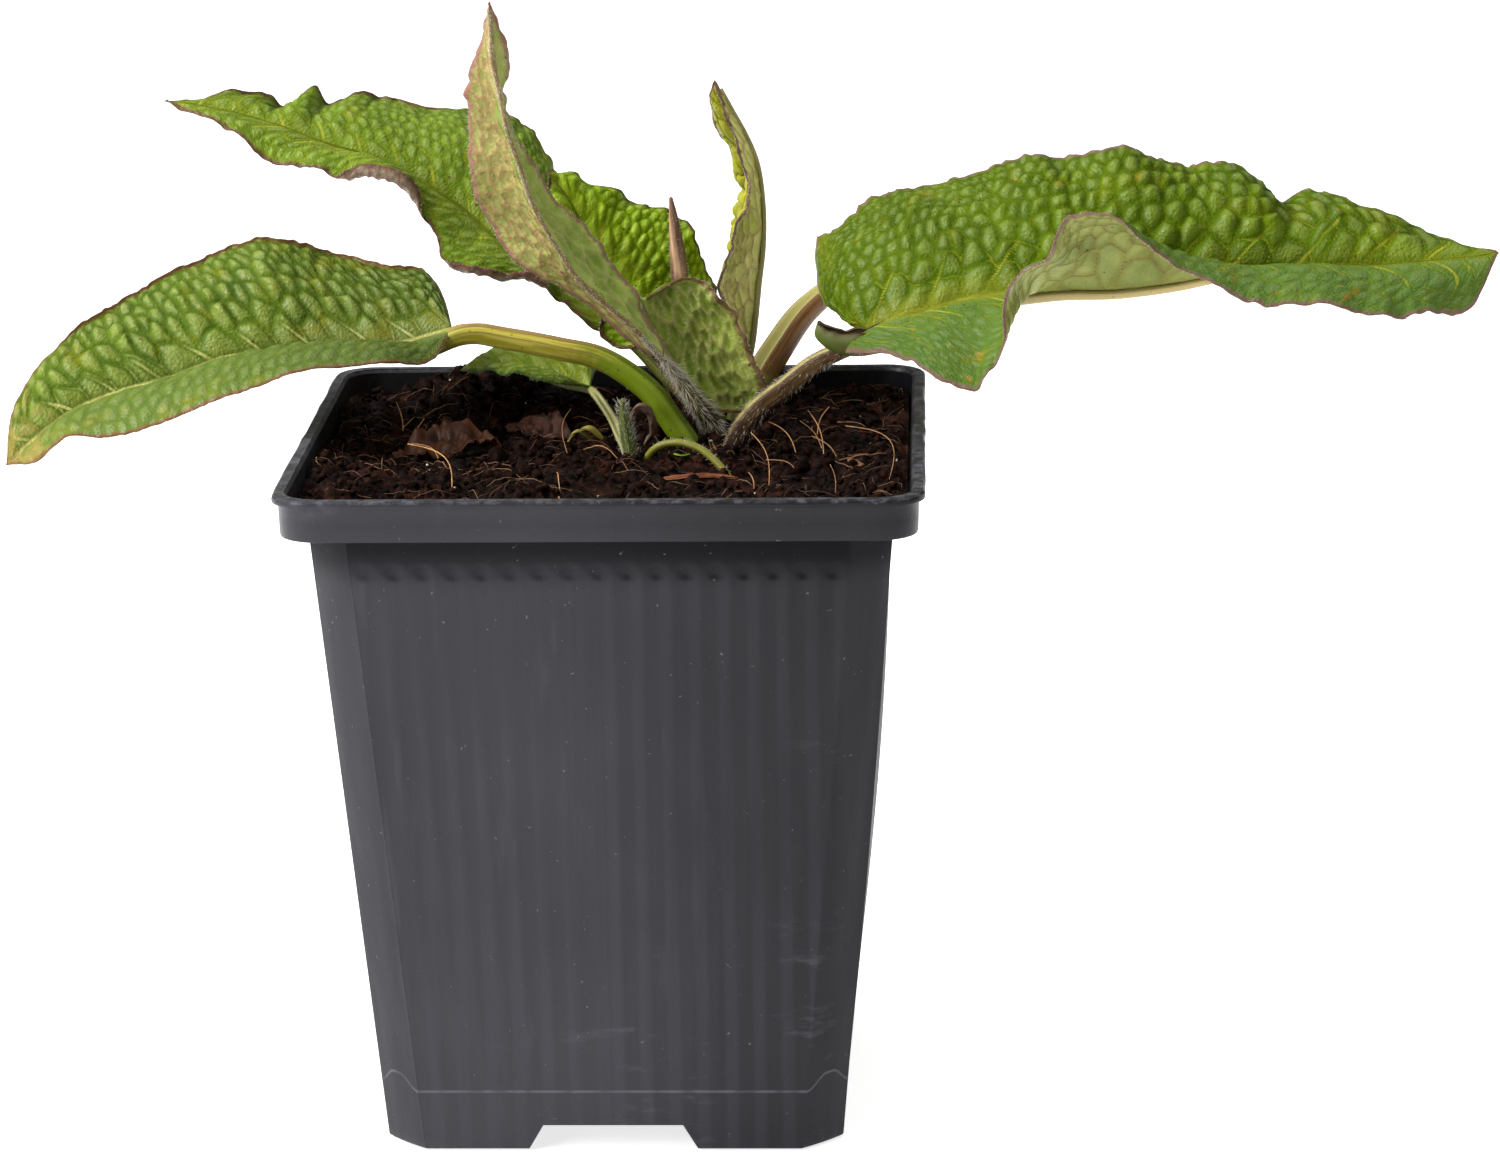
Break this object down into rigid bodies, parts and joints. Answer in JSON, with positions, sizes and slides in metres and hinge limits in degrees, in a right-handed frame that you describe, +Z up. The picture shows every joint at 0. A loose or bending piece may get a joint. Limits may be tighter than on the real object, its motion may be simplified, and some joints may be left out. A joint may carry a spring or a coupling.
{
  "type": "potted comfrey",
  "caption": "Young comfrey plant with rough hairy leaves on hairy stalks, growing in a dark square nursery pot filled with peat soil.",
  "frame": {"origin": "centre of the plane that the pot stands on", "axes": "+Z up, +X to the right in the picture towards the large right leaf's tip, +Y away from the side that the picture shows"},
  "size_m": [0.2643, 0.1481, 0.1961],
  "materials": {
    "pot_plastic": "satin",
    "soil": "matte",
    "root": "matte",
    "leaf": "satin",
    "young_leaf": "satin",
    "shoot": "matte",
    "stalk": "satin",
    "dry_leaf": "satin",
    "bark": "matte",
    "seedling": "satin"
  },
  "bodies": {
    "root": {"pot": "pot_plastic", "soil": "soil", "rootstock": "root", "leaf_low_left": "leaf", "leaf_back_left": "leaf", "leaf_tall": "leaf", "leaf_back_centre": "leaf", "leaf_young": "leaf", "leaf_narrow": "leaf", "leaf_large_right": "leaf", "leaf_back_right": "leaf", "leaf_small": "leaf", "leaf_spear": "young_leaf", "shoot_hairy": "shoot", "stalk_arched": "stalk", "dry_leaf_large": "dry_leaf", "dry_leaf_small": "dry_leaf", "bark_sliver": "bark", "seedling": "seedling", "sprout": "shoot", "dry_leaf_curled": "dry_leaf"}
  },
  "joints": []
}
